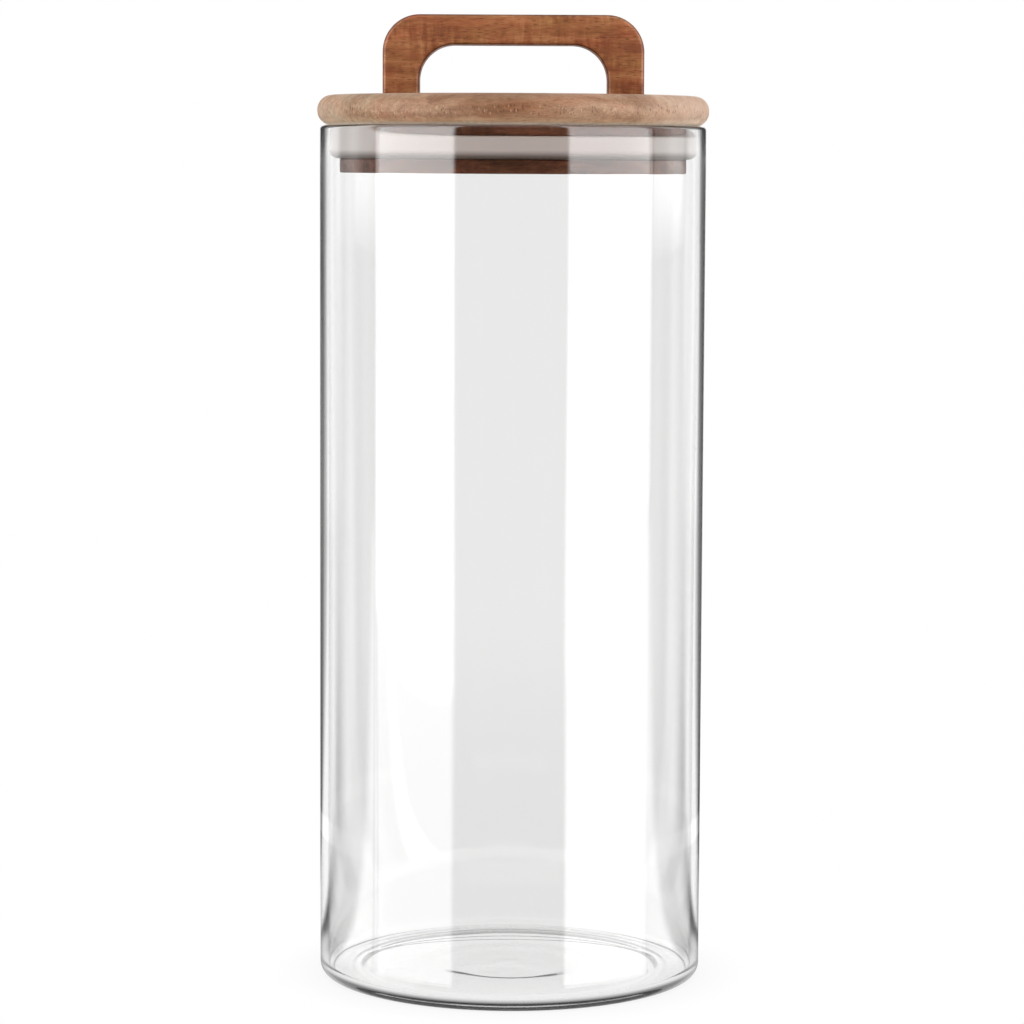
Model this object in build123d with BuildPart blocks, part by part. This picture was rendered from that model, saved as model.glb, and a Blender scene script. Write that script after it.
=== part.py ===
from build123d import *
import os

# A tall straight-walled glass storage jar with a wooden plug lid.
#
# The origin is the centre of the circle the jar stands on.  +Z runs up the
# jar's axis and the lid's handle spans along X.  All lengths are millimetres.

# ---------------------------------------------------------------- jar
JAR_R = 60.0            # outer radius of the wall
WALL = 2.4              # wall thickness
RIM_Z = 266.5           # top of the fire-polished rim
RIM_ROUND = 1.15        # radius on both edges of the rim
HEEL_ROUND = 3.4        # outer radius where wall meets base
FLOOR_ROUND = 3.2       # inner radius where wall meets floor
STAND_IN_R = 50.0       # inner edge of the ring the jar stands on
PUSH_UP_R = 43.0        # where the push-up of the underside levels out
PUSH_UP = 0.6           # height of the push-up
MARK_R = 21.0           # raised round mould mark in the middle of the underside
MARK_RELIEF = 0.3       # how far the mark stands down from the push-up
MARK_EDGE = 0.6         # width of the mark's sloping edge
FLOOR_Z = 2.2           # inside floor

# ---------------------------------------------------------------- lid
DISC_R = 60.8           # disc that covers the rim
DISC_T = 9.3
DISC_ROUND = 4.5        # bullnose edge
PLUG_R = 53.8           # plug that drops into the mouth
PLUG_DEPTH = 14.55      # below the disc
PLUG_ROUND = 0.5        # lower edge of the plug
GROOVE_R = 50.5         # bottom of the seal groove
GROOVE_TOP = 3.4        # disc underside to the groove
GROOVE_H = 6.95

# ---------------------------------------------------------------- seal
RUN = 0.05              # running clearance round the seal
SEAL_H = 6.85
SEAL_TOP_ROUND = 0.9    # outer upper edge
SEAL_SOLE_R = 54.2      # outer radius at the lower edge
SEAL_FACE_H = 2.9       # straight outer face that meets the glass

# ---------------------------------------------------------------- handle
HANDLE_W = 80.7
HANDLE_H = 24.8
HANDLE_D = 16.0         # front to back
GAP_W = 58.2            # finger gap
GAP_H = 15.6
HANDLE_OUT_ROUND = 11.5
HANDLE_IN_ROUND = 10.9
HANDLE_EDGE_ROUND = 1.2

# ---------------------------------------------------------------- screws
SCREW_R = 2.0           # thread's outer radius
SCREW_L = 35.0
SCREW_TIP = 4.0         # length of the pointed end
HEAD_R = 4.0
HEAD_LAND = 0.3         # short cylinder at the head's face
HEAD_SINK = 0.2         # head's face above the plug's underside
CLEAR_R = 2.25          # clearance holes in plug and disc
PILOT_EXTRA = 1.0       # hole beyond the screw's tip
CROSS_W = 0.9           # cross recess
CROSS_L = 4.4
CROSS_DEPTH = 1.6

# ---------------------------------------------------------------- derived
BORE_R = JAR_R - WALL
DISC_TOP = RIM_Z + DISC_T
PLUG_Z = RIM_Z - PLUG_DEPTH
GROOVE_HI = RIM_Z - GROOVE_TOP
GROOVE_LO = GROOVE_HI - GROOVE_H
SEAL_LO = GROOVE_LO + RUN
SEAL_HI = SEAL_LO + SEAL_H
SEAL_IN_R = GROOVE_R + RUN
SEAL_OUT_R = BORE_R - RUN
SEAL_FACE_HI = SEAL_HI - SEAL_TOP_ROUND
SEAL_FACE_LO = SEAL_FACE_HI - SEAL_FACE_H
HANDLE_TOP = DISC_TOP + HANDLE_H
LEG_X = (HANDLE_W + GAP_W) / 4
HEAD_Z = PLUG_Z + HEAD_SINK
CONE_Z = HEAD_Z + HEAD_LAND
TIP_Z = HEAD_Z + SCREW_L

os.makedirs("parts", exist_ok=True)

# ---------------------------------------------------------------- jar
# One revolved wall: underside from the centre outwards, up the outside, over
# the rim and down the inside to the floor.
with BuildPart() as jar:
    with BuildSketch(Plane.XZ) as jar_section:
        with BuildLine():
            Polyline(
                (0, PUSH_UP - MARK_RELIEF),
                (MARK_R - MARK_EDGE, PUSH_UP - MARK_RELIEF),
                (MARK_R, PUSH_UP),
                (PUSH_UP_R, PUSH_UP),
                (STAND_IN_R, 0),
                (JAR_R, 0),
                (JAR_R, RIM_Z),
                (BORE_R, RIM_Z),
                (BORE_R, FLOOR_Z),
                (0, FLOOR_Z),
                close=True,
            )
        make_face()
        corners = jar_section.vertices()
        fillet(corners.sort_by_distance((JAR_R, 0))[0:1], HEEL_ROUND)
        fillet(jar_section.vertices().sort_by_distance((BORE_R, FLOOR_Z))[0:1], FLOOR_ROUND)
        fillet(jar_section.vertices().sort_by_distance((JAR_R, RIM_Z))[0:1], RIM_ROUND)
        fillet(jar_section.vertices().sort_by_distance((BORE_R, RIM_Z))[0:1], RIM_ROUND)
    revolve(axis=Axis.Z)
jar.part.label = "jar"
export_step(jar.part, "parts/jar.step")

# ---------------------------------------------------------------- lid disc
# Round board with a bullnose edge and two clearance holes under the legs.
with BuildPart() as lid_disc:
    with BuildSketch(Plane.XY.offset(RIM_Z)):
        Circle(DISC_R)
    extrude(amount=DISC_T)
    fillet(lid_disc.edges().filter_by(GeomType.CIRCLE), DISC_ROUND)
    with BuildSketch(Plane.XY.offset(RIM_Z)):
        with Locations((-LEG_X, 0), (LEG_X, 0)):
            Circle(CLEAR_R)
    extrude(amount=DISC_T, mode=Mode.SUBTRACT)
lid_disc.part.label = "lid_disc"
export_step(lid_disc.part, "parts/lid_disc.step")

# ---------------------------------------------------------------- lid plug
# Turned plug with the seal groove; countersunk clearance holes from below.
with BuildPart() as lid_plug:
    with BuildSketch(Plane.XZ) as plug_section:
        with BuildLine():
            Polyline(
                (0, PLUG_Z),
                (PLUG_R, PLUG_Z),
                (PLUG_R, GROOVE_LO),
                (GROOVE_R, GROOVE_LO),
                (GROOVE_R, GROOVE_HI),
                (PLUG_R, GROOVE_HI),
                (PLUG_R, RIM_Z),
                (0, RIM_Z),
                close=True,
            )
        make_face()
        fillet(plug_section.vertices().sort_by_distance((PLUG_R, PLUG_Z))[0:1], PLUG_ROUND)
    revolve(axis=Axis.Z)
    for side in (-1, 1):
        with BuildSketch(Plane((side * LEG_X, 0, 0), x_dir=(1, 0, 0), z_dir=(0, -1, 0))):
            with BuildLine():
                Polyline(
                    (0, PLUG_Z),
                    (HEAD_R, PLUG_Z),
                    (HEAD_R, CONE_Z),
                    (CLEAR_R, CONE_Z + HEAD_R - CLEAR_R),
                    (CLEAR_R, RIM_Z),
                    (0, RIM_Z),
                    close=True,
                )
            make_face()
        revolve(axis=Axis((side * LEG_X, 0, 0), (0, 0, 1)), mode=Mode.SUBTRACT)
lid_plug.part.label = "lid_plug"
export_step(lid_plug.part, "parts/lid_plug.step")

# ---------------------------------------------------------------- seal ring
# Soft ring: straight outer face against the glass, then a convex sole that
# curves in to the lower edge.
with BuildPart() as seal_ring:
    with BuildSketch(Plane.XZ) as seal_section:
        with BuildLine():
            Line((SEAL_IN_R, SEAL_HI), (SEAL_IN_R, SEAL_LO))
            Line((SEAL_IN_R, SEAL_LO), (SEAL_SOLE_R, SEAL_LO))
            EllipticalCenterArc(
                (SEAL_SOLE_R, SEAL_FACE_LO),
                SEAL_OUT_R - SEAL_SOLE_R,
                SEAL_FACE_LO - SEAL_LO,
                start_angle=270,
                arc_size=90,
            )
            Line((SEAL_OUT_R, SEAL_FACE_LO), (SEAL_OUT_R, SEAL_HI))
            Line((SEAL_OUT_R, SEAL_HI), (SEAL_IN_R, SEAL_HI))
        make_face()
        fillet(seal_section.vertices().sort_by_distance((SEAL_OUT_R, SEAL_HI))[0:1], SEAL_TOP_ROUND)
    revolve(axis=Axis.Z)
seal_ring.part.label = "seal_ring"
export_step(seal_ring.part, "parts/seal_ring.step")

# ---------------------------------------------------------------- handle
# Bridge of solid wood: two legs and a bar, softened along its front and back
# edges, with a blind pilot hole up each leg.
with BuildPart() as handle:
    with BuildSketch(Plane.XZ) as handle_face:
        with Locations((0, DISC_TOP + HANDLE_H / 2)):
            Rectangle(HANDLE_W, HANDLE_H)
        fillet(handle_face.vertices().group_by(Axis.Y)[-1], HANDLE_OUT_ROUND)
        with BuildSketch(mode=Mode.SUBTRACT) as gap_face:
            with Locations((0, DISC_TOP + GAP_H / 2)):
                Rectangle(GAP_W, GAP_H)
            fillet(gap_face.vertices().group_by(Axis.Y)[-1], HANDLE_IN_ROUND)
    extrude(amount=HANDLE_D / 2, both=True)
    rims = handle.faces().sort_by(Axis.Y)[0].edges() + handle.faces().sort_by(Axis.Y)[-1].edges()
    fillet(rims.filter_by(lambda e: e.center().Z > DISC_TOP + 0.1), HANDLE_EDGE_ROUND)
    with BuildSketch(Plane.XY.offset(DISC_TOP)):
        with Locations((-LEG_X, 0), (LEG_X, 0)):
            Circle(SCREW_R)
    extrude(amount=TIP_Z + PILOT_EXTRA - DISC_TOP, mode=Mode.SUBTRACT)
handle.part.label = "handle"
export_step(handle.part, "parts/handle.step")

# ---------------------------------------------------------------- screws
# Two identical countersunk screws, heads down in the plug's underside.
with BuildPart() as handle_screws:
    for side in (-1, 1):
        with BuildSketch(Plane((side * LEG_X, 0, 0), x_dir=(1, 0, 0), z_dir=(0, -1, 0))):
            with BuildLine():
                Polyline(
                    (0, HEAD_Z),
                    (HEAD_R, HEAD_Z),
                    (HEAD_R, CONE_Z),
                    (SCREW_R, CONE_Z + HEAD_R - SCREW_R),
                    (SCREW_R, TIP_Z - SCREW_TIP),
                    (0, TIP_Z),
                    close=True,
                )
            make_face()
        revolve(axis=Axis((side * LEG_X, 0, 0), (0, 0, 1)))
    with BuildSketch(Plane.XY.offset(HEAD_Z)):
        with Locations((-LEG_X, 0), (LEG_X, 0)):
            Rectangle(CROSS_L, CROSS_W)
            Rectangle(CROSS_W, CROSS_L)
    extrude(amount=CROSS_DEPTH, taper=12, mode=Mode.SUBTRACT)
handle_screws.part.label = "handle_screws"
export_step(handle_screws.part, "parts/handle_screws.step")
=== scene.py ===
import math

import bmesh
import bpy
import numpy as np
from mathutils import Euler, Matrix, Vector


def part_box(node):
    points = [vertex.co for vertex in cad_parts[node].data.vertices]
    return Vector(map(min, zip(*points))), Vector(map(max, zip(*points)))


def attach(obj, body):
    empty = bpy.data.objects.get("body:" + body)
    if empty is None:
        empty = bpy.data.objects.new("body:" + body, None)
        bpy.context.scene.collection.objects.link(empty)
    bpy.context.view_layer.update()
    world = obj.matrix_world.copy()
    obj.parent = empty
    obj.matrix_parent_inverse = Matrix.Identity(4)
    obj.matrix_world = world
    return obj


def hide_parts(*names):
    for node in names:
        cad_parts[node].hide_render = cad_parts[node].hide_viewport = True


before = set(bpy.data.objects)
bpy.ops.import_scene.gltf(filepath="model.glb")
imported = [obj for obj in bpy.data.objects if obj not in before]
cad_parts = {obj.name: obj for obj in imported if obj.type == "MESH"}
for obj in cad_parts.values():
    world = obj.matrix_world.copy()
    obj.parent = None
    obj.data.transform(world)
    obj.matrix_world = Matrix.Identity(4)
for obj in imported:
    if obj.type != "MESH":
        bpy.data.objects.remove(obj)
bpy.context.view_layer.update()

scene = bpy.context.scene

# --------------------------------------------------------------------------
# Sizes, in millimetres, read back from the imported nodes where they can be.
# --------------------------------------------------------------------------
MM = 0.001
jar_lo, jar_hi = [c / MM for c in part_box("jar")]
disc_lo, disc_hi = [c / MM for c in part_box("lid_disc")]
plug_lo, plug_hi = [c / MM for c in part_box("lid_plug")]
seal_lo, seal_hi = [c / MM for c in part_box("seal_ring")]
hand_lo, hand_hi = [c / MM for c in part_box("handle")]
screw_lo, screw_hi = [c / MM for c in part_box("handle_screws")]

JAR_R = 60.0
WALL = 2.4
BORE_R = JAR_R - WALL
RIM_Z = jar_hi.z
DISC_R = 60.8
DISC_TOP = disc_hi.z
PLUG_R = 53.8
PLUG_Z = plug_lo.z
GROOVE_R = 50.5
GROOVE_HI = RIM_Z - 3.4
GROOVE_LO = GROOVE_HI - 6.95
SEAL_LO, SEAL_HI = seal_lo.z, seal_hi.z
HANDLE_TOP = hand_hi.z
LEG_X = 34.725
SCREW_Z = screw_lo.z
TIP_Z = screw_hi.z


# --------------------------------------------------------------------------
# Mesh helpers
# --------------------------------------------------------------------------
def link(obj):
    scene.collection.objects.link(obj)
    return obj


def mesh_object(name, verts, faces, sharp=None):
    mesh = bpy.data.meshes.new(name)
    mesh.from_pydata([tuple(c * MM for c in v) for v in verts], [], faces)
    mesh.validate()
    bm = bmesh.new()
    bm.from_mesh(mesh)
    bmesh.ops.recalc_face_normals(bm, faces=bm.faces)
    bm.to_mesh(mesh)
    bm.free()
    mesh.shade_smooth()
    if sharp is not None:
        mesh.set_sharp_from_angle(angle=math.radians(sharp))
    return link(bpy.data.objects.new(name, mesh))


def arc(cx, cz, rx, rz, a0, a1, n):
    """Points on an ellipse's arc, angles in degrees."""
    out = []
    for i in range(n + 1):
        a = math.radians(a0 + (a1 - a0) * i / n)
        out.append((cx + rx * math.cos(a), cz + rz * math.sin(a)))
    return out


def line(p, q, n):
    return [
        (p[0] + (q[0] - p[0]) * i / n, p[1] + (q[1] - p[1]) * i / n) for i in range(1, n)
    ]


def clean(points, closed=False):
    out = []
    for p in points:
        if not out or math.dist(p, out[-1]) > 1e-4:
            out.append(p)
    if closed and math.dist(out[0], out[-1]) < 1e-4:
        out.pop()
    return out


def lathe(name, profile, seg, closed, bend=None, sharp=None):
    """Revolves (r, z) points about Z. An open profile starts and ends on the
    axis; a closed one is a ring's section. bend moves each point by name."""
    profile = clean(profile, closed)
    verts, rings = [], []
    for r, z in profile:
        if r < 1e-6:
            rings.append([len(verts)])
            verts.append((0.0, 0.0, z))
            continue
        ring = []
        for k in range(seg):
            a = 2 * math.pi * k / seg
            rr, zz = (r, z) if bend is None else bend(r, z, a)
            ring.append(len(verts))
            verts.append((rr * math.cos(a), rr * math.sin(a), zz))
        rings.append(ring)
    faces = []
    pairs = list(zip(rings, rings[1:]))
    if closed:
        pairs.append((rings[-1], rings[0]))
    for a, b in pairs:
        for k in range(seg):
            k2 = (k + 1) % seg
            if len(a) == 1:
                faces.append((a[0], b[k], b[k2]))
            elif len(b) == 1:
                faces.append((a[k], b[0], a[k2]))
            else:
                faces.append((a[k], b[k], b[k2], a[k2]))
    return mesh_object(name, verts, faces, sharp)


def cut(obj, cutters, sharp=None):
    """Subtracts the cutters from obj and removes them."""
    for c in cutters:
        m = obj.modifiers.new("cut", "BOOLEAN")
        m.operation = "DIFFERENCE"
        m.solver = "EXACT"
        m.object = c
    bpy.context.view_layer.update()
    dg = bpy.context.evaluated_depsgraph_get()
    mesh = bpy.data.meshes.new_from_object(obj.evaluated_get(dg), depsgraph=dg)
    obj.modifiers.clear()
    old = obj.data
    obj.data = mesh
    mesh.name = obj.name
    bpy.data.meshes.remove(old)
    for c in cutters:
        bpy.data.objects.remove(c)
    mesh.shade_smooth()
    if sharp is not None:
        mesh.set_sharp_from_angle(angle=math.radians(sharp))
    return obj


def waves(seed, count, low, high):
    """A few fixed sine waves round the axis, for slow unevenness."""
    rng = np.random.default_rng(seed)
    return [
        (
            int(rng.integers(low, high)),
            float(rng.uniform(0, 2 * math.pi)),
            float(rng.uniform(-0.035, 0.035)),
            float(rng.uniform(0.4, 1.0)),
        )
        for _ in range(count)
    ]


def unevenness(w, a, z):
    total = sum(x[3] for x in w)
    return sum(x[3] * math.sin(x[0] * a + x[1] + x[2] * z) for x in w) / total


# --------------------------------------------------------------------------
# Node helpers
# --------------------------------------------------------------------------
class Nodes:
    def __init__(self, name):
        self.mat = bpy.data.materials.new(name)
        self.mat.use_nodes = True
        self.nt = self.mat.node_tree
        self.nt.nodes.clear()
        self.out = self.nt.nodes.new("ShaderNodeOutputMaterial")

    def add(self, kind, **values):
        n = self.nt.nodes.new(kind)
        for k, v in values.items():
            setattr(n, k, v)
        return n

    def link(self, a, b):
        self.nt.links.new(a, b)

    def put(self, node, **inputs):
        for k, v in inputs.items():
            k = k.replace("_", " ")
            if isinstance(v, bpy.types.NodeSocket):
                self.link(v, node.inputs[k])
            else:
                node.inputs[k].default_value = v
        return node

    def coords(self):
        return self.add("ShaderNodeTexCoord").outputs["Object"]

    def scaled(self, vector, scale, location=(0, 0, 0), rotation=(0, 0, 0)):
        m = self.add("ShaderNodeMapping")
        self.link(vector, m.inputs["Vector"])
        m.inputs["Scale"].default_value = scale
        m.inputs["Location"].default_value = location
        m.inputs["Rotation"].default_value = rotation
        return m.outputs["Vector"]

    def noise(self, vector, scale=1.0, detail=3.0, rough=0.5, warp=0.0):
        n = self.add("ShaderNodeTexNoise")
        self.link(vector, n.inputs["Vector"])
        n.inputs["Scale"].default_value = scale
        n.inputs["Detail"].default_value = detail
        n.inputs["Roughness"].default_value = rough
        n.inputs["Distortion"].default_value = warp
        return n.outputs["Fac"]

    def maths(self, op, a, b=None, c=None, clamp=False):
        n = self.add("ShaderNodeMath", operation=op, use_clamp=clamp)
        for i, v in enumerate((a, b, c)):
            if v is None:
                continue
            if isinstance(v, bpy.types.NodeSocket):
                self.link(v, n.inputs[i])
            else:
                n.inputs[i].default_value = v
        return n.outputs[0]

    def ramp(self, fac, stops, interpolation="EASE"):
        n = self.add("ShaderNodeValToRGB")
        n.color_ramp.interpolation = interpolation
        els = n.color_ramp.elements
        while len(els) < len(stops):
            els.new(0.5)
        for e, (pos, col) in zip(els, stops):
            e.position = pos
            e.color = (*col, 1.0) if len(col) == 3 else col
        self.link(fac, n.inputs["Fac"])
        return n.outputs["Color"]

    def span(self, value, lo, hi, to_lo=0.0, to_hi=1.0, smooth=False):
        n = self.add("ShaderNodeMapRange")
        if smooth:
            n.interpolation_type = "SMOOTHSTEP"
        self.link(value, n.inputs["Value"])
        n.inputs["From Min"].default_value = lo
        n.inputs["From Max"].default_value = hi
        n.inputs["To Min"].default_value = to_lo
        n.inputs["To Max"].default_value = to_hi
        return n.outputs["Result"]

    def mix(self, fac, a, b, blend="MIX"):
        n = self.add("ShaderNodeMix", data_type="RGBA", blend_type=blend)
        for i, v in ((0, fac), (6, a), (7, b)):
            if isinstance(v, bpy.types.NodeSocket):
                self.link(v, n.inputs[i])
            elif i == 0:
                n.inputs[i].default_value = v
            else:
                n.inputs[i].default_value = (*v, 1.0)
        return n.outputs[2]

    def bump(self, height, strength, distance, normal=None):
        n = self.add("ShaderNodeBump")
        self.link(height, n.inputs["Height"])
        n.inputs["Strength"].default_value = strength
        n.inputs["Distance"].default_value = distance
        if normal is not None:
            self.link(normal, n.inputs["Normal"])
        return n.outputs["Normal"]


# --------------------------------------------------------------------------
# Camera, lights, floor
# --------------------------------------------------------------------------
CAM_Y, CAM_Z = -1.10808, 0.25752
PITCH, ROLL = 5.75, 0.265
cam_data = bpy.data.cameras.new("camera")
cam_data.sensor_width = 36.0
cam_data.lens = 3544.0 / 1024.0 * 36.0
cam_data.clip_start = 0.01
cam_data.clip_end = 50.0
camera = link(bpy.data.objects.new("camera", cam_data))
turn = (
    Euler((0, 0, math.radians(-0.0097))).to_matrix()
    @ Euler((math.radians(90 - PITCH), 0, 0)).to_matrix()
    @ Euler((0, 0, math.radians(ROLL))).to_matrix()
)
camera.matrix_world = Matrix.Translation((0, CAM_Y, CAM_Z)) @ turn.to_4x4()
scene.camera = camera
scene.view_settings.view_transform = "Standard"
scene.view_settings.look = "None"

# The studio. A direct look at it, and a look straight through the glass, both
# see white paper; what the glass mirrors is a plain room set up for glass, the
# same on both sides: paper behind, black flags that give the edges their
# outline, pale boards, a gap, a thin strip, and the dark side where the
# photographer stands. Pairs of azimuth from straight behind and radiance.
ROOM = [
    (0, 1.0), (9, 1.0), (15, 0.1), (27, 0.2), (33, 1.2), (51, 1.2), (57, 0.1),
    (62, 0.1), (68, 0.5), (72, 0.5), (78, 0.0), (88, 0.0),
]


def azimuth_ramp(tree, x, y, gain, side, front=0.0):
    """Radiance by azimuth, from two sockets with a direction's X and Y. side
    is the radiance towards the softboxes, front that of the dark side."""
    at = tree.nodes.new("ShaderNodeMath")
    at.operation = "ARCTAN2"
    tree.links.new(x, at.inputs[0])
    tree.links.new(y, at.inputs[1])
    turn = tree.nodes.new("ShaderNodeMath")
    turn.operation = "ABSOLUTE"
    tree.links.new(at.outputs[0], turn.inputs[0])
    part = tree.nodes.new("ShaderNodeMath")
    part.operation = "DIVIDE"
    tree.links.new(turn.outputs[0], part.inputs[0])
    part.inputs[1].default_value = math.pi
    stops = [(deg, v * gain) for deg, v in ROOM] + [(92, side), (141, side), (144, front)]
    r = tree.nodes.new("ShaderNodeValToRGB")
    els = r.color_ramp.elements
    while len(els) < len(stops):
        els.new(0.5)
    for e, (deg, v) in zip(els, stops):
        e.position = deg / 180
        e.color = (v, v, v, 1)
    tree.links.new(part.outputs[0], r.inputs["Fac"])
    grey = tree.nodes.new("ShaderNodeRGBToBW")
    tree.links.new(r.outputs["Color"], grey.inputs[0])
    return grey.outputs[0]


def choose(tree, fac, a, b):
    """a where fac is 0, b where it is 1; numbers or sockets."""
    n = tree.nodes.new("ShaderNodeMix")
    n.data_type = "FLOAT"
    for i, v in ((0, fac), (2, a), (3, b)):
        if isinstance(v, bpy.types.NodeSocket):
            tree.links.new(v, n.inputs[i])
        else:
            n.inputs[i].default_value = v
    return n.outputs[0]


def above(tree, value, limit=0.5):
    n = tree.nodes.new("ShaderNodeMath")
    n.operation = "GREATER_THAN"
    tree.links.new(value, n.inputs[0])
    n.inputs[1].default_value = limit
    return n.outputs[0]


world = bpy.data.worlds.new("studio")
scene.world = world
world.use_nodes = True
wt = world.node_tree
wt.nodes.clear()
w_out = wt.nodes.new("ShaderNodeOutputWorld")
w_bg = wt.nodes.new("ShaderNodeBackground")
wt.links.new(w_bg.outputs[0], w_out.inputs["Surface"])
w_bg.inputs["Color"].default_value = (1, 1, 1, 1)
w_geo = wt.nodes.new("ShaderNodeTexCoord")
w_sep = wt.nodes.new("ShaderNodeSeparateXYZ")
wt.links.new(w_geo.outputs["Generated"], w_sep.inputs[0])
w_path = wt.nodes.new("ShaderNodeLightPath")
w_room = azimuth_ramp(wt, w_sep.outputs["X"], w_sep.outputs["Y"], 1.0, 0.3)


def world_math(op, a, b):
    n = wt.nodes.new("ShaderNodeMath")
    n.operation = op
    for i, v in enumerate((a, b)):
        if isinstance(v, bpy.types.NodeSocket):
            wt.links.new(v, n.inputs[i])
        else:
            n.inputs[i].default_value = v
    return n.outputs[0]


def world_span(value, lo, hi):
    n = wt.nodes.new("ShaderNodeMapRange")
    n.interpolation_type = "SMOOTHSTEP"
    wt.links.new(value, n.inputs["Value"])
    n.inputs["From Min"].default_value = lo
    n.inputs["From Max"].default_value = hi
    return n.outputs["Result"]


# two windows whose sills stand level with the lid, and a pale ceiling
w_at = world_math("ARCTAN2", w_sep.outputs["X"], w_sep.outputs["Y"])
w_high = world_span(w_sep.outputs["Z"], -0.034, -0.004)
for w_sign, w_bright in ((1, 1.8), (-1, 0.5)):
    w_edge = world_span(w_at, w_sign * math.radians(55), w_sign * math.radians(61))
    w_end = world_span(w_at, w_sign * math.radians(91), w_sign * math.radians(87))
    w_pane = world_math("MULTIPLY", world_math("MULTIPLY", w_edge, w_end), w_high)
    w_room = world_math("ADD", w_room, world_math("MULTIPLY", w_pane, w_bright))
w_room = choose(wt, world_span(w_sep.outputs["Z"], 0.36, 0.60), w_room, 0.9)
w_l = choose(wt, above(wt, w_path.outputs["Glossy Depth"]), 1.0, w_room)
w_l = choose(wt, above(wt, w_path.outputs["Glossy Depth"], 2.5), w_l, 0.45)
w_side = wt.nodes.new("ShaderNodeMapRange")
w_side.interpolation_type = "SMOOTHSTEP"
wt.links.new(w_sep.outputs["Y"], w_side.inputs["Value"])
for k, v in (("From Min", -0.7), ("From Max", 0.5), ("To Min", 0.10), ("To Max", 1.3)):
    w_side.inputs[k].default_value = v
w_l = choose(wt, above(wt, w_path.outputs["Diffuse Depth"]), w_l, w_side.outputs["Result"])
w_l = choose(wt, w_path.outputs["Is Camera Ray"], w_l, 1.0)
wt.links.new(w_l, w_bg.inputs["Strength"])


def softbox(name, azimuth, distance, low, high, top, radiance, mirrored, fill):
    """A tall flat light, as a panel that the glass and the varnish mirror and
    as a lamp that lights matt surfaces. azimuth is that of its normal, in
    degrees from straight in front of the jar, positive to the right. low and
    high are its ends along its own plane, also as azimuths. It goes on below
    the floor as its own image in the polished table, which is dimmer."""
    a = math.radians(azimuth)
    normal = Vector((math.sin(a), -math.cos(a), 0))
    along = Vector((math.cos(a), math.sin(a), 0))
    t0 = distance * math.tan(math.radians(low - azimuth))
    t1 = distance * math.tan(math.radians(high - azimuth))
    soft_low = distance * math.tan(math.radians(low + 3.0 - azimuth)) - t0
    soft_high = t1 - distance * math.tan(math.radians(high - 3.0 - azimuth))
    mesh = bpy.data.meshes.new(name)
    foot = normal * distance
    corners = [
        foot + along * t + Vector((0, 0, z))
        for t, z in ((t0, -top), (t1, -top), (t1, top), (t0, top))
    ]
    mesh.from_pydata([tuple(c) for c in corners], [], [(0, 1, 2, 3)])
    panel = link(bpy.data.objects.new(name, mesh))
    n = Nodes(name)
    path = n.add("ShaderNodeLightPath")
    lit = above(n.nt, path.outputs["Glossy Depth"])
    lit = choose(n.nt, above(n.nt, path.outputs["Transmission Depth"], 2.5), lit, 0.0)
    lit = choose(n.nt, path.outputs["Is Diffuse Ray"], lit, 0.0)
    lit = choose(n.nt, path.outputs["Is Shadow Ray"], lit, 0.0)
    lit = choose(n.nt, path.outputs["Is Camera Ray"], lit, 0.0)
    e = n.add("ShaderNodeEmission")
    here = n.add("ShaderNodeNewGeometry").outputs["Position"]
    height = n.add("ShaderNodeSeparateXYZ")
    n.link(here, height.inputs[0])
    across = n.add("ShaderNodeVectorMath", operation="DOT_PRODUCT")
    n.link(here, across.inputs[0])
    across.inputs[1].default_value = along
    # the cloth dims over its last few degrees
    dim = n.maths(
        "MULTIPLY",
        n.span(across.outputs["Value"], t0, t0 + soft_low, smooth=True),
        n.span(across.outputs["Value"], t1, t1 - soft_high, smooth=True),
    )
    strength = n.span(height.outputs["Z"], -0.012, 0.004, mirrored, radiance, smooth=True)
    n.link(n.maths("MULTIPLY", strength, dim), e.inputs["Strength"])
    clear = n.add("ShaderNodeBsdfTransparent")
    m = n.add("ShaderNodeMixShader")
    n.link(lit, m.inputs[0])
    n.link(clear.outputs[0], m.inputs[1])
    n.link(e.outputs[0], m.inputs[2])
    n.link(m.outputs[0], n.out.inputs["Surface"])
    n.mat.cycles.emission_sampling = "NONE"
    mesh.materials.append(n.mat)

    data = bpy.data.lights.new(name + "_lamp", "AREA")
    data.shape = "RECTANGLE"
    data.size = abs(t1 - t0)
    data.size_y = 0.7
    data.energy = fill * math.pi * data.size * data.size_y
    lamp = link(bpy.data.objects.new(name + "_lamp", data))
    centre = normal * distance * 0.98 + along * (t0 + t1) / 2
    centre.z = 0.36
    y = Vector((0, 0, 1))
    rot = Matrix((y.cross(normal), y, normal)).transposed()
    lamp.matrix_world = Matrix.Translation(centre) @ rot.to_4x4()
    lamp.visible_camera = False
    lamp.visible_glossy = False
    lamp.visible_transmission = False
    return panel


softbox("softbox_left", -40.0, 0.713, -87.6, -32.2, 1.2, 5.4, 2.6, 2.7)
softbox("softbox_right", 26.0, 0.772, 30.6, 90.4, 1.2, 4.4, 3.3, 2.9)

top_data = bpy.data.lights.new("top", "AREA")
top_data.shape = "RECTANGLE"
top_data.size, top_data.size_y = 1.6, 1.2
top_data.energy = 5.0
top_light = link(bpy.data.objects.new("top", top_data))
top_light.matrix_world = Matrix.Translation((0, 0.15, 1.6))
top_light.visible_camera = False
top_light.visible_glossy = False
top_light.visible_transmission = False

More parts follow.
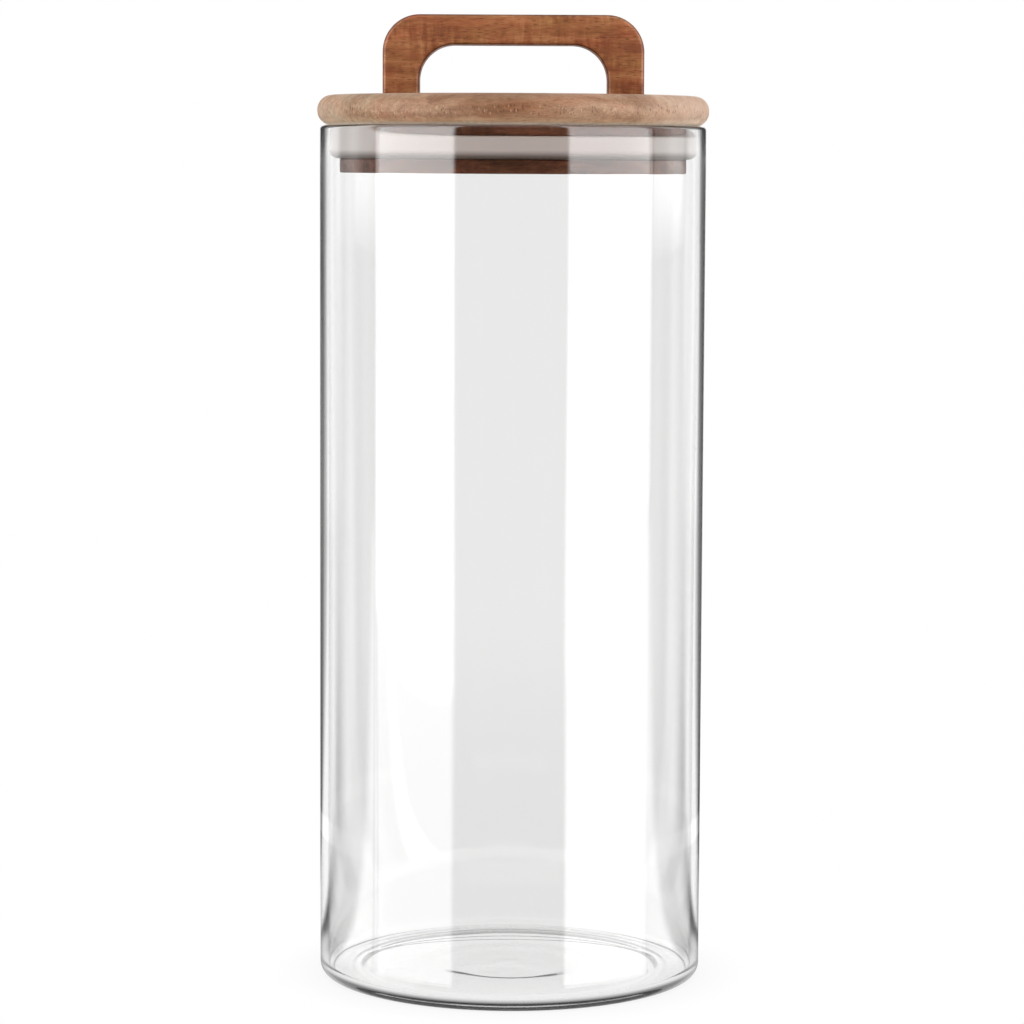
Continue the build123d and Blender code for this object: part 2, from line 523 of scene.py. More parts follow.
# The floor is white paper. It darkens a little where something stands on it.
floor_n = Nodes("floor")
f_co = floor_n.add("ShaderNodeNewGeometry").outputs["Position"]
f_sep = floor_n.add("ShaderNodeSeparateXYZ")
floor_n.link(f_co, f_sep.inputs[0])
fx, fy = f_sep.outputs["X"], f_sep.outputs["Y"]
f_path = floor_n.add("ShaderNodeLightPath")
f_dist = floor_n.maths(
    "SQRT",
    floor_n.maths("ADD", floor_n.maths("MULTIPLY", fx, fx), floor_n.maths("MULTIPLY", fy, fy)),
)
f_board = choose(
    floor_n.nt,
    floor_n.span(f_dist, 1.2, 1.7, smooth=True),
    azimuth_ramp(floor_n.nt, fx, fy, 0.9, 1.9),
    azimuth_ramp(floor_n.nt, fx, fy, 1.0, 0.3),
)
f_strip = floor_n.maths(
    "MULTIPLY",
    floor_n.span(f_dist, 0.246, 0.252, smooth=True),
    floor_n.span(f_dist, 0.296, 0.286, smooth=True),
)
f_board = floor_n.maths("MULTIPLY_ADD", f_strip, 0.25, f_board)
f_ao = floor_n.add("ShaderNodeAmbientOcclusion")
f_ao.inputs["Distance"].default_value = 0.022
f_ao.samples = 8
f_shade = floor_n.span(f_ao.outputs["AO"], 0.0, 0.9, 0.88, 1.0)
f_shade = choose(floor_n.nt, floor_n.span(f_dist, 0.15, 0.2, smooth=True), f_shade, 1.0)
# painted shade: in reflections the floor under the jar's foot is dark, 0.17, rising to 0.88 just beyond it
f_near = floor_n.span(f_dist, 0.0528, 0.0582, 0.17, 0.88)
f_board = choose(floor_n.nt, floor_n.span(f_dist, 0.066, 0.105, smooth=True), f_near, f_board)
f_paper = floor_n.span(f_dist, 0.25, 0.9, 0.94, 1.0, smooth=True)
f_l = choose(floor_n.nt, above(floor_n.nt, f_path.outputs["Glossy Depth"]), f_paper, f_board)
f_l = choose(floor_n.nt, above(floor_n.nt, f_path.outputs["Glossy Depth"], 2.5), f_l, 0.45)
f_l = choose(floor_n.nt, above(floor_n.nt, f_path.outputs["Diffuse Depth"]), f_l, 0.6)
f_l = choose(floor_n.nt, f_path.outputs["Is Camera Ray"], f_l, f_shade)
f_at = floor_n.maths("ABSOLUTE", floor_n.maths("ARCTAN2", fx, fy))
f_open = floor_n.maths(
    "MULTIPLY",
    floor_n.maths("GREATER_THAN", floor_n.maths("SUBTRACT", f_at, floor_n.maths("DIVIDE", 0.042, f_dist)), math.radians(90)),
    floor_n.maths("LESS_THAN", floor_n.maths("SUBTRACT", f_at, floor_n.maths("DIVIDE", 0.016, f_dist)), math.radians(149.5)),
)
f_open = floor_n.maths("MULTIPLY", f_open, above(floor_n.nt, f_path.outputs["Glossy Depth"]))
f_open = choose(floor_n.nt, above(floor_n.nt, f_path.outputs["Glossy Depth"], 2.5), f_open, 0.0)
f_open = choose(floor_n.nt, above(floor_n.nt, f_path.outputs["Diffuse Depth"]), f_open, 0.0)
f_open = choose(floor_n.nt, above(floor_n.nt, f_dist, 0.085), 0.0, f_open)
f_em = floor_n.add("ShaderNodeEmission")
f_em.inputs["Color"].default_value = (1, 1, 1, 1)
floor_n.link(f_l, f_em.inputs["Strength"])
f_clear = floor_n.add("ShaderNodeBsdfTransparent")
f_mix = floor_n.add("ShaderNodeMixShader")
floor_n.link(f_open, f_mix.inputs[0])
floor_n.link(f_em.outputs[0], f_mix.inputs[1])
floor_n.link(f_clear.outputs[0], f_mix.inputs[2])
floor_n.link(f_mix.outputs[0], floor_n.out.inputs["Surface"])
floor_n.mat.cycles.emission_sampling = "NONE"

bm = bmesh.new()
bmesh.ops.create_grid(bm, x_segments=8, y_segments=8, size=8.0)
floor_mesh = bpy.data.meshes.new("floor")
bm.to_mesh(floor_mesh)
bm.free()
floor = link(bpy.data.objects.new("floor", floor_mesh))
floor.data.materials.append(floor_n.mat)

# --------------------------------------------------------------------------
# Materials
# --------------------------------------------------------------------------


def glass_material():
    n = Nodes("clear_glass")
    co = n.coords()
    drawn = n.noise(n.scaled(co, (55, 55, 2.2)), detail=2)
    ripple = n.noise(n.scaled(co, (16, 16, 5)), detail=1)
    h = n.maths("ADD", n.maths("MULTIPLY", drawn, 0.5), ripple)
    normal = n.bump(h, 0.05, 0.0006)
    tint = n.mix(ripple, (0.983, 0.984, 0.982), (0.986, 0.986, 0.985))
    # painted shade: towards grazing angles the glass colour is darkened to 0.6, a painted dark outline round
    # its edges, fading out over the top 16 mm
    lean = n.add("ShaderNodeLayerWeight")
    lean.inputs["Blend"].default_value = 0.5
    rim = n.span(lean.outputs["Facing"], 0.78, 0.94, 0.0, 1.0, smooth=True)
    up = n.add("ShaderNodeSeparateXYZ")
    n.link(co, up.inputs[0])
    wall = n.span(up.outputs["Z"], (RIM_Z - 2.0) * MM, (RIM_Z - 16.0) * MM, smooth=True)
    tint = n.mix(n.maths("MULTIPLY", rim, wall), tint, (0.60, 0.60, 0.60))
    b = n.add("ShaderNodeBsdfGlass")
    n.put(b, Color=tint, Roughness=0.0, IOR=1.472, Normal=normal)
    clear = n.add("ShaderNodeBsdfTransparent")
    clear.inputs["Color"].default_value = (0.93, 0.93, 0.93, 1)
    path = n.add("ShaderNodeLightPath")
    m = n.add("ShaderNodeMixShader")
    n.link(path.outputs["Is Shadow Ray"], m.inputs[0])
    n.link(b.outputs[0], m.inputs[1])
    n.link(clear.outputs[0], m.inputs[2])
    n.link(m.outputs[0], n.out.inputs["Surface"])
    return n.mat


def wood_material(
    name, dark, mid, light, pore, red, olive, rings=0.0, figure=0.3, pores=0.5, flecks=0.0,
    fleck_z=None, low_z=None, contrast=1.0, painted_lit_ends=None, side=None,
    seed=0.0, rough=(0.36, 0.5), gloss=0.45,
):
    """Solid wood with its grain along X: faint growth bands, fibres, broken
    ripple figure across the grain, short pores and slow drifts of hue, all in
    three dimensions, so that end grain shows where the surface cuts it.
    flecks are small silvery ray marks, densest round the height fleck_z; below low_z, both in metres, the
    wood is painted paler and more olive, painted light standing in for light bounced up from the floor, and
    its lowest millimetre is a painted pale line."""
    n = Nodes(name)
    co = n.coords()
    here = n.scaled(co, (1, 1, 1), location=(seed * 0.37, seed * 0.11, seed * 0.23))
    drift = n.noise(n.scaled(here, (14, 45, 45)), detail=2)
    sep = n.add("ShaderNodeSeparateXYZ")
    n.link(here, sep.inputs[0])
    own = n.add("ShaderNodeSeparateXYZ")
    n.link(co, own.inputs[0])
    lean = n.maths("MULTIPLY_ADD", sep.outputs["Y"], 0.35, sep.outputs["Z"])
    band = n.maths("MULTIPLY_ADD", drift, 0.016, lean)
    band = n.maths("SINE", n.maths("MULTIPLY", band, 2 * math.pi / 0.0060))
    fibres = n.noise(n.scaled(here, (60, 620, 620)), detail=5, rough=0.62, warp=0.25)
    fine = n.noise(n.scaled(here, (330, 2600, 2600)), detail=3, rough=0.6)
    cloud = n.noise(n.scaled(here, (34, 75, 75)), detail=4, rough=0.6)
    # figure: narrow bands across the grain that come and go
    ripple = n.noise(n.scaled(here, (520, 70, 110)), detail=4, rough=0.62, warp=0.4)
    patch = n.span(n.noise(n.scaled(here, (70, 90, 160), (0.4, 0.2, 0.1)), detail=2), 0.36, 0.62)
    ripple = n.maths("MULTIPLY", n.maths("SUBTRACT", ripple, 0.5), patch)
    tone = n.maths("MULTIPLY_ADD", n.maths("SUBTRACT", fibres, 0.5), 0.75, 0.5)
    tone = n.maths("MULTIPLY_ADD", n.maths("SUBTRACT", fine, 0.5), 0.55, tone)
    tone = n.maths("MULTIPLY_ADD", n.maths("SUBTRACT", cloud, 0.5), 0.85, tone)
    tone = n.maths("MULTIPLY_ADD", band, rings, tone)
    tone = n.maths("MULTIPLY_ADD", ripple, figure, tone)
    tone = n.maths("MULTIPLY_ADD", n.maths("SUBTRACT", tone, 0.5), contrast, 0.5)
    colour = n.ramp(tone, [(0.12, dark), (0.5, mid), (0.88, light)], "LINEAR")
    # hue drifts between redder and more olive wood
    hue = n.noise(n.scaled(here, (48, 130, 190), (0.7, 0.3, 0.9)), detail=3, rough=0.6)
    colour = n.mix(n.span(hue, 0.50, 0.72), colour, n.mix(1.0, colour, red, "MULTIPLY"))
    colour = n.mix(n.span(hue, 0.50, 0.28), colour, n.mix(1.0, colour, olive, "MULTIPLY"))
    if painted_lit_ends is not None:
        # painted light: the edge is painted paler towards both ends, where the side softboxes light it and
        # give it sheen, more on the right than on the left
        for (x0, x1), gain in painted_lit_ends:
            painted_end_light = n.add("ShaderNodeVectorMath", operation="MULTIPLY")
            n.link(colour, painted_end_light.inputs[0])
            painted_end_light.inputs[1].default_value = gain
            wander = n.maths("MULTIPLY_ADD", n.maths("SUBTRACT", cloud, 0.5), 0.012, own.outputs["X"])
            colour = n.mix(n.span(wander, x0, x1, smooth=True), colour, painted_end_light.outputs["Vector"])
        # painted highlight: the right end is washed towards a flat pale colour
        painted_right_wash = n.span(own.outputs["X"], 0.034, 0.052, 0.0, 0.6, smooth=True)
        colour = n.mix(painted_right_wash, colour, (0.50, 0.335, 0.250))
    turned = None
    # painted shade: faces turned from the front and back are painted darker with the side colour, the
    # rounded edges fully and the faces round the bridge a quarter as much; their gloss is lowered further
    # down
    if side is not None:
        facing = n.add("ShaderNodeSeparateXYZ")
        n.link(n.add("ShaderNodeTexCoord").outputs["Normal"], facing.inputs[0])
        tilt = n.maths("ABSOLUTE", facing.outputs["Y"])
        turned = n.maths(
            "MULTIPLY", n.span(tilt, 0.88, 0.50, smooth=True), n.span(tilt, 0.03, 0.12, 0.25, 1.0)
        )
        colour = n.mix(turned, colour, n.mix(1.0, colour, side, "MULTIPLY"))
    if low_z is not None:
        # painted light: below low_z the colour is made paler and more olive, standing in for light bounced
        # up from the floor
        edge = n.maths("MULTIPLY_ADD", n.maths("SUBTRACT", cloud, 0.5), 0.004, own.outputs["Z"])
        low = n.span(edge, low_z + 0.0012, low_z - 0.0007, 0.0, 1.0, smooth=True)
        painted_bounce_light = n.add("ShaderNodeVectorMath", operation="MULTIPLY")
        n.link(colour, painted_bounce_light.inputs[0])
        painted_bounce_light.inputs[1].default_value = (1.75, 2.0, 2.1)
        colour = n.mix(low, colour, painted_bounce_light.outputs["Vector"])
        # painted highlight: the lowest millimetre of the edge, over the glass rim, is painted a flat pale
        # colour for a bright line along the rim
        rim = n.span(own.outputs["Z"], low_z - 0.0002, low_z - 0.0011, smooth=True)
        colour = n.mix(rim, colour, (0.80, 0.68, 0.55))
    # pores: short thin dashes along the grain
    v = n.add("ShaderNodeTexVoronoi")
    n.link(n.scaled(here, (420, 2100, 2100)), v.inputs["Vector"])
    v.inputs["Scale"].default_value = 1.0
    v.inputs["Randomness"].default_value = 1.0
    dot = n.span(v.outputs["Distance"], 0.40, 0.20)
    pick = n.add("ShaderNodeSeparateColor")
    n.link(v.outputs["Color"], pick.inputs[0])
    some = n.span(pick.outputs[0], 0.60, 0.68)
    hole = n.maths("MULTIPLY", dot, some)
    colour = n.mix(n.maths("MULTIPLY", hole, pores), colour, pore)
    if flecks:
        u = n.add("ShaderNodeTexVoronoi")
        n.link(n.scaled(here, (1500, 1100, 620), rotation=(0, 0.25, 0)), u.inputs["Vector"])
        u.inputs["Scale"].default_value = 1.0
        spot = n.span(u.outputs["Distance"], 0.42, 0.18)
        which = n.add("ShaderNodeSeparateColor")
        n.link(u.outputs["Color"], which.inputs[0])
        off = n.maths("SUBTRACT", own.outputs["Z"], fleck_z)
        off = n.maths("MULTIPLY_ADD", n.maths("SUBTRACT", drift, 0.5), 0.006, off)
        near = n.span(n.maths("ABSOLUTE", off), 0.0026, 0.0006, smooth=True)
        clump = n.span(n.noise(n.scaled(here, (130, 60, 60)), detail=2), 0.30, 0.52)
        near = n.maths("MULTIPLY", n.maths("MULTIPLY", near, clump), flecks)
        pale = n.maths("MULTIPLY", spot, n.span(which.outputs[1], 0.58, 0.64))
        deep = n.maths("MULTIPLY", spot, n.span(which.outputs[1], 0.50, 0.42))
        colour = n.mix(n.maths("MULTIPLY", pale, near), colour, tuple(min(1.0, c * 1.25) for c in light))
        colour = n.mix(n.maths("MULTIPLY", deep, near), colour, pore)
    bump_h = n.maths("MULTIPLY_ADD", fine, 0.35, n.maths("MULTIPLY", fibres, 0.5))
    bump_h = n.maths("SUBTRACT", bump_h, n.maths("MULTIPLY", hole, 0.6))
    normal = n.bump(bump_h, 0.3, 0.0001)
    r = n.span(tone, 0.2, 0.8, rough[1], rough[0])
    b = n.add("ShaderNodeBsdfPrincipled")
    n.put(b, Base_Color=colour, Roughness=r, Normal=normal)
    b.inputs["Specular IOR Level"].default_value = gloss
    if turned is not None:
        n.link(n.span(turned, 0.0, 1.0, gloss, 0.12), b.inputs["Specular IOR Level"])
    n.link(b.outputs[0], n.out.inputs["Surface"])
    return n.mat


def silicone_material():
    n = Nodes("silicone")
    co = n.coords()
    cloud = n.noise(n.scaled(co, (90, 90, 90)), detail=3)
    grain = n.noise(n.scaled(co, (1800, 1800, 1800)), detail=2)
    colour = n.mix(cloud, (0.62, 0.535, 0.50), (0.69, 0.60, 0.565))
    # painted shade: the colour darkens towards the bottom of the sole, over its lowest 3 mm, where it curves
    # under
    sep = n.add("ShaderNodeSeparateXYZ")
    n.link(co, sep.inputs[0])
    painted_sole_shade = n.span(sep.outputs["Z"], (SEAL_LO + 3.0) * MM, (SEAL_LO + 0.2) * MM, smooth=True)
    colour = n.mix(painted_sole_shade, colour, (0.17, 0.125, 0.105))
    # painted light: the seal's left and right limbs, beyond 34 to 48 mm from the middle, are painted
    # brighter, standing in for the light from the sides
    painted_limb_mask = n.span(n.maths("ABSOLUTE", sep.outputs["X"]), 0.034, 0.048, smooth=True)
    painted_limb_light = n.add("ShaderNodeVectorMath", operation="MULTIPLY")
    n.link(colour, painted_limb_light.inputs[0])
    painted_limb_light.inputs[1].default_value = (1.12, 1.20, 1.23)
    colour = n.mix(painted_limb_mask, colour, painted_limb_light.outputs["Vector"])
    b = n.add("ShaderNodeBsdfPrincipled")
    n.put(
        b,
        Base_Color=colour,
        Roughness=n.span(grain, 0.3, 0.7, 0.30, 0.42),
        Normal=n.bump(grain, 0.15, 0.00005),
        Subsurface_Weight=0.55,
        Subsurface_Scale=0.004,
        IOR=1.41,
    )
    b.inputs["Subsurface Radius"].default_value = (1.0, 0.75, 0.65)
    n.link(b.outputs[0], n.out.inputs["Surface"])
    return n.mat


def steel_material():
    n = Nodes("steel")
    co = n.coords()
    turned = n.noise(n.scaled(co, (600, 600, 4200)), detail=3)
    scratch = n.noise(n.scaled(co, (5200, 900, 900)), detail=2)
    colour = n.mix(turned, (0.52, 0.52, 0.51), (0.66, 0.66, 0.65))
    b = n.add("ShaderNodeBsdfPrincipled")
    n.put(
        b,
        Base_Color=colour,
        Metallic=1.0,
        Roughness=n.span(scratch, 0.2, 0.8, 0.24, 0.42),
        Normal=n.bump(turned, 0.2, 0.00003),
    )
    n.link(b.outputs[0], n.out.inputs["Surface"])
    return n.mat


GLASS = glass_material()
PALE = wood_material(
    "pale_wood",
    dark=(0.17, 0.075, 0.035),
    mid=(0.276, 0.140, 0.073),
    light=(0.38, 0.218, 0.127),
    pore=(0.11, 0.045, 0.024),
    red=(1.02, 0.86, 0.78),
    olive=(0.96, 1.06, 1.02),
    rings=0.05,
    figure=0.25,
    pores=0.5,
    flecks=1.0,
    fleck_z=((RIM_Z + DISC_TOP) / 2 - 0.6) * MM,
    # below this height the disc's edge is painted paler, painted bounce light
    low_z=(RIM_Z + 1.2) * MM,
    seed=1.0,
    contrast=1.5,
    # painted light and sheen on the ends of the disc's edge, stronger on the right
    painted_lit_ends=(
        ((-0.018, -0.034), (1.02, 1.07, 1.10)),
        ((-0.036, -0.052), (1.15, 1.36, 1.52)),
        ((0.016, 0.030), (1.05, 1.08, 1.10)),
        ((0.036, 0.050), (1.46, 1.68, 1.85)),
    ),
    rough=(0.40, 0.55),
)
HANDLE = wood_material(
    "handle_wood",
    dark=(0.185, 0.056, 0.020),
    mid=(0.305, 0.113, 0.044),
    light=(0.420, 0.182, 0.078),
    pore=(0.085, 0.026, 0.011),
    red=(1.06, 0.84, 0.86),
    olive=(0.93, 1.08, 0.90),
    rings=0.06,
    figure=1.1,
    pores=0.75,
    contrast=1.9,
    # side: the colour that paints shade on the handle's edges
    side=(0.48, 0.43, 0.47),
    seed=3.0,
    rough=(0.38, 0.5),
)
DARK = wood_material(
    "dark_wood",
    dark=(0.07, 0.024, 0.012),
    mid=(0.150, 0.053, 0.027),
    light=(0.25, 0.100, 0.055),
    pore=(0.035, 0.012, 0.007),
    red=(1.06, 0.86, 0.86),
    olive=(0.95, 1.06, 0.96),
    rings=0.06,
    figure=0.5,
    pores=0.5,
    contrast=1.8,
    seed=5.0,
    rough=(0.38, 0.5),
)
SILICONE = silicone_material()
STEEL = steel_material()

# --------------------------------------------------------------------------
# Jar
# --------------------------------------------------------------------------
PUSH_UP, MARK_R = 0.6, 21.0
FLOOR_Z = 2.2
HEEL, FLOOR_RND, RIM_RND = 3.4, 3.2, 1.15

# underside: flat middle with the mould mark, then the step down to the ring
# the jar stands on
under = [(0, PUSH_UP)] + line((0, PUSH_UP), (13.0, PUSH_UP), 3)
under += line((12.6, PUSH_UP), (29.0, PUSH_UP), 42)
under += line((29.0, PUSH_UP), (32.4, PUSH_UP), 3)
step = [(32.4, 0.6), (43.6, 0.6), (44.4, 0.585), (45.0, 0.545), (45.5, 0.46), (46.0, 0.345), (46.5, 0.235), (47.0, 0.165)]
step += [(47.6, 0.135), (48.4, 0.125), (49.0, 0.11), (49.5, 0.075), (50.0, 0.03), (50.5, 0.005), (51.0, 0.0)]
for r in np.arange(32.4, 51.01, 0.2):
    under.append((float(r), float(np.interp(r, *zip(*step))) * PUSH_UP / 0.6))
heel = arc(JAR_R - HEEL, HEEL, HEEL, HEEL, -90, 0, 12)
side = line(heel[-1], (JAR_R, RIM_Z - RIM_RND), 26)
rim = arc(JAR_R - RIM_RND, RIM_Z - RIM_RND, RIM_RND, RIM_RND, 0, 90, 8)
rim += arc(BORE_R + RIM_RND, RIM_Z - RIM_RND, RIM_RND, RIM_RND, 90, 180, 8)
bore = line(rim[-1], (BORE_R, FLOOR_Z + FLOOR_RND), 26)
cove = arc(BORE_R - FLOOR_RND, FLOOR_Z + FLOOR_RND, FLOOR_RND, FLOOR_RND, 0, -90, 14)
inside = line(cove[-1], (0, FLOOR_Z), 16) + [(0, FLOOR_Z)]

w_out_wall = waves(11, 5, 3, 9)
w_in_wall = waves(23, 7, 4, 17)
w_mark = waves(31, 4, 3, 11)


def mark(r, a):
    """How far the mould mark stands down: crisp along its front, and blurred
    into the underside elsewhere."""
    off = (a - math.radians(-96) + math.pi) % (2 * math.pi) - math.pi
    crisp = math.exp(-((off / 0.85) ** 4))
    wide = 7.0 - 6.1 * crisp
    edge = MARK_R + 0.55 * unevenness(w_mark, a, 0)
    t = min(1.0, max(0.0, (r - edge) / wide + 0.5))
    return (0.07 + 0.15 * crisp) * (1 - t * t * (3 - 2 * t))


def rings(r, a):
    """Two faint mould rings and a higher step, pressed only into the back half."""
    back = min(1.0, max(0.0, math.sin(a) * 1.6 + 0.35))
    turn = 1 - max(0.0, math.sin(a))
    fade = min(1.0, max(0.0, (math.sin(a) - 0.28) / 0.15))
    low = 0.20 * math.exp(-(((r - 34.3 - 20.0 * turn) / 0.6) ** 2)) * fade
    low += 0.70 * math.exp(-(((r - 39.8 - 11.0 * turn) / 0.7) ** 2)) * fade
    up = min(1.0, max(0.0, (47.3 - r) / 1.6))
    low -= 0.60 * up * up * (3 - 2 * up) * min(1.0, max(0.0, (r - 30.0) / 12.0))
    return low * back


def jar_bend(r, z, a):
    if z > 12 and r > 59.9:
        r += 0.02 * unevenness(w_out_wall, a, z) * min(1, (RIM_Z - z) / 8)
    elif z > 10 and r < 57.7:
        r += 0.05 * unevenness(w_in_wall, a, z) * min(1, (z - 8) / 20) * min(
            1, (RIM_Z - z) / 25
        )
    elif r < 30 and z < 1:
        z -= mark(r, a)
    elif r < 47.5 and z < 1:
        z = max(z - rings(r, a), 0.03)
    return r, z


jar = lathe(
    "glass_jar",
    under + heel + side + rim + bore + cove + inside,
    384,
    False,
    bend=jar_bend,
)
jar.data.materials.append(GLASS)
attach(jar, "jar")
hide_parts("jar")

# --------------------------------------------------------------------------
# Lid disc
# --------------------------------------------------------------------------
DT = DISC_TOP - RIM_Z
EDGE = 4.5
disc_profile = [(0, RIM_Z)]
disc_profile += line((0, RIM_Z), (DISC_R - EDGE, RIM_Z), 14)
disc_profile += arc(DISC_R - EDGE, RIM_Z + EDGE, EDGE, EDGE, -90, 0, 16)
disc_profile += arc(DISC_R - EDGE, DISC_TOP - EDGE, EDGE, EDGE, 0, 90, 16)
disc_profile += line((DISC_R - EDGE, DISC_TOP), (0, DISC_TOP), 14) + [(0, DISC_TOP)]
disc = lathe("lid_board", disc_profile, 320, False)


def hole_cutter(x, r, z0, z1, seg=48):
    c = lathe("cutter", [(0, z0), (r, z0), (r, z1), (0, z1)], seg, False)
    c.data.transform(Matrix.Translation((x * MM, 0, 0)))
    return c


cut(disc, [hole_cutter(s * LEG_X, 2.25, RIM_Z - 1, DISC_TOP + 1) for s in (-1, 1)], 40)
disc.data.materials.append(PALE)
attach(disc, "lid")
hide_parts("lid_disc")

# --------------------------------------------------------------------------
# Lid plug
# --------------------------------------------------------------------------
SOFT = 0.35
plug_profile = [(0, PLUG_Z)]
plug_profile += line((0, PLUG_Z), (PLUG_R - 0.5, PLUG_Z), 12)
plug_profile += arc(PLUG_R - 0.5, PLUG_Z + 0.5, 0.5, 0.5, -90, 0, 6)
plug_profile += arc(PLUG_R - SOFT, GROOVE_LO - SOFT, SOFT, SOFT, 0, 90, 5)
plug_profile += [(GROOVE_R, GROOVE_LO), (GROOVE_R, GROOVE_HI)]
plug_profile += arc(PLUG_R - SOFT, GROOVE_HI + SOFT, SOFT, SOFT, -90, 0, 5)
plug_profile += [(PLUG_R, RIM_Z)]
plug_profile += line((PLUG_R, RIM_Z), (0, RIM_Z), 12) + [(0, RIM_Z)]
plug = lathe("lid_plug_turned", plug_profile, 320, False)


def sink_cutter(x):
    z = SCREW_Z + 0.3
    c = lathe(
        "cutter",
        [(0, PLUG_Z - 1), (4.0, PLUG_Z - 1), (4.0, z), (2.25, z + 1.75), (2.25, RIM_Z + 1), (0, RIM_Z + 1)],
        48,
        False,
    )
    c.data.transform(Matrix.Translation((x * MM, 0, 0)))
    return c


cut(plug, [sink_cutter(s * LEG_X) for s in (-1, 1)], 40)
plug.data.materials.append(DARK)
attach(plug, "lid")
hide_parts("lid_plug")

# --------------------------------------------------------------------------
# Seal ring
# --------------------------------------------------------------------------
SEAL_IN, SEAL_OUT, SOLE_R = GROOVE_R + 0.05, BORE_R - 0.05, 54.2
FACE_HI = SEAL_HI - 0.9
FACE_LO = FACE_HI - 2.9
seal_profile = arc(SEAL_IN + 0.3, SEAL_LO + 0.3, 0.3, 0.3, 180, 270, 4)
seal_profile += arc(SOLE_R, FACE_LO, SEAL_OUT - SOLE_R, FACE_LO - SEAL_LO, -90, 0, 18)
seal_profile += line((SEAL_OUT, FACE_LO), (SEAL_OUT, FACE_HI), 4)
seal_profile += arc(SEAL_OUT - 0.9, FACE_HI, 0.9, 0.9, 0, 90, 8)
seal_profile += line((SEAL_OUT - 0.9, SEAL_HI), (SOLE_R, SEAL_HI), 6)
seal_profile += arc(SEAL_IN + 0.3, SEAL_HI - 0.3, 0.3, 0.3, 90, 180, 4)
w_seal = waves(47, 5, 2, 8)


def seal_lift(a):
    """The upper lip has ridden up the glass along the left side."""
    deg = (math.degrees(a) + 90 + 180) % 360 - 180  # from the front, + to the right
    left = -deg
    rise = np.interp(left, [14, 24, 34, 41, 44, 46.5, 50], [0, 0.15, 0.5, 0.9, 1.3, 2.3, 3.0])
    fall = np.interp(left, [120, 172], [1, 0])
    return float(rise * fall)


def seal_bend(r, z, a):
    if r > SOLE_R:
        r -= 0.12 * (0.5 + 0.5 * unevenness(w_seal, a, 0))
        up = min(1.0, (r - SOLE_R) / 0.5) * min(1.0, max(0.0, (z - FACE_LO) / (FACE_HI - FACE_LO)))
        z += seal_lift(a) * up
    return r, z


seal = lathe("silicone_seal", seal_profile, 320, True, bend=seal_bend)
seal.data.materials.append(SILICONE)
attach(seal, "seal")
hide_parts("seal_ring")

# --------------------------------------------------------------------------
# Handle: a rounded rectangle section carried round the bridge
# --------------------------------------------------------------------------
HW, HH, HD = 40.35, HANDLE_TOP - DISC_TOP, 8.0
GW, GH = 29.1, 15.6
RO, RI, RE = 11.5, 10.9, 1.2


def bridge(half, height, radius):
    """(point, outward normal) along one edge of the bridge, left foot to right."""
    pts = []
    for i in range(12):
        pts.append(((-half, (height - radius) * i / 12), (-1, 0)))
    for i in range(18):
        a = math.radians(180 - 90 * i / 18)
        pts.append(
            (
                (-half + radius + radius * math.cos(a), height - radius + radius * math.sin(a)),
                (math.cos(a), math.sin(a)),
            )
        )
    for i in range(36):
        pts.append(((-half + radius + (2 * half - 2 * radius) * i / 36, height), (0, 1)))
    for i in range(18):
        a = math.radians(90 - 90 * i / 18)
        pts.append(
            (
                (half - radius + radius * math.cos(a), height - radius + radius * math.sin(a)),
                (math.cos(a), math.sin(a)),
            )
        )
    for i in range(13):
        pts.append(((half, (height - radius) * (1 - i / 12)), (1, 0)))
    return pts


outer, inner = bridge(HW, HH, RO), bridge(GW, GH, RI)
verts, faces, loops = [], [], []
ROUND, ACROSS, DEEP = 6, 8, 8
for (po, no), (pi_, ni) in zip(outer, inner):
    ni = (-ni[0], -ni[1])
    loop = []

    def add(p, q, y):
        loop.append(len(verts))
        verts.append((p, y, DISC_TOP + q))

    o = [po[0] - no[0] * RE, po[1] - no[1] * RE]
    i_ = [pi_[0] - ni[0] * RE, pi_[1] - ni[1] * RE]
    # front face, outer to inner
    for k in range(ACROSS + 1):
        t = k / ACROSS
        add(o[0] + (i_[0] - o[0]) * t, o[1] + (i_[1] - o[1]) * t, -HD)
    for k in range(1, ROUND + 1):
        a = math.radians(90 * k / ROUND)
        add(i_[0] + ni[0] * RE * math.sin(a), i_[1] + ni[1] * RE * math.sin(a), -HD + RE * (1 - math.cos(a)))
    for k in range(1, DEEP):
        add(pi_[0], pi_[1], -HD + RE + 2 * (HD - RE) * k / DEEP)
    for k in range(ROUND, 0, -1):
        a = math.radians(90 * k / ROUND)
        add(i_[0] + ni[0] * RE * math.sin(a), i_[1] + ni[1] * RE * math.sin(a), HD - RE * (1 - math.cos(a)))
    for k in range(ACROSS, -1, -1):
        t = k / ACROSS
        add(o[0] + (i_[0] - o[0]) * t, o[1] + (i_[1] - o[1]) * t, HD)
    for k in range(1, ROUND + 1):
        a = math.radians(90 * k / ROUND)
        add(o[0] + no[0] * RE * math.sin(a), o[1] + no[1] * RE * math.sin(a), HD - RE * (1 - math.cos(a)))
    for k in range(DEEP - 1, 0, -1):
        add(po[0], po[1], -HD + RE + 2 * (HD - RE) * k / DEEP)
    for k in range(ROUND, 0, -1):
        a = math.radians(90 * k / ROUND)
        add(o[0] + no[0] * RE * math.sin(a), o[1] + no[1] * RE * math.sin(a), -HD + RE * (1 - math.cos(a)))
    loops.append(loop)
for a, b in zip(loops, loops[1:]):
    m = len(a)
    for k in range(m):
        faces.append((a[k], a[(k + 1) % m], b[(k + 1) % m], b[k]))
faces.append(tuple(loops[0]))
faces.append(tuple(reversed(loops[-1])))
handle = mesh_object("bridge_handle", verts, faces, 40)
cut(handle, [hole_cutter(s * LEG_X, 2.0, DISC_TOP - 1, TIP_Z + 1.0) for s in (-1, 1)], 40)
handle.data.materials.append(HANDLE)
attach(handle, "lid")
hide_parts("handle")


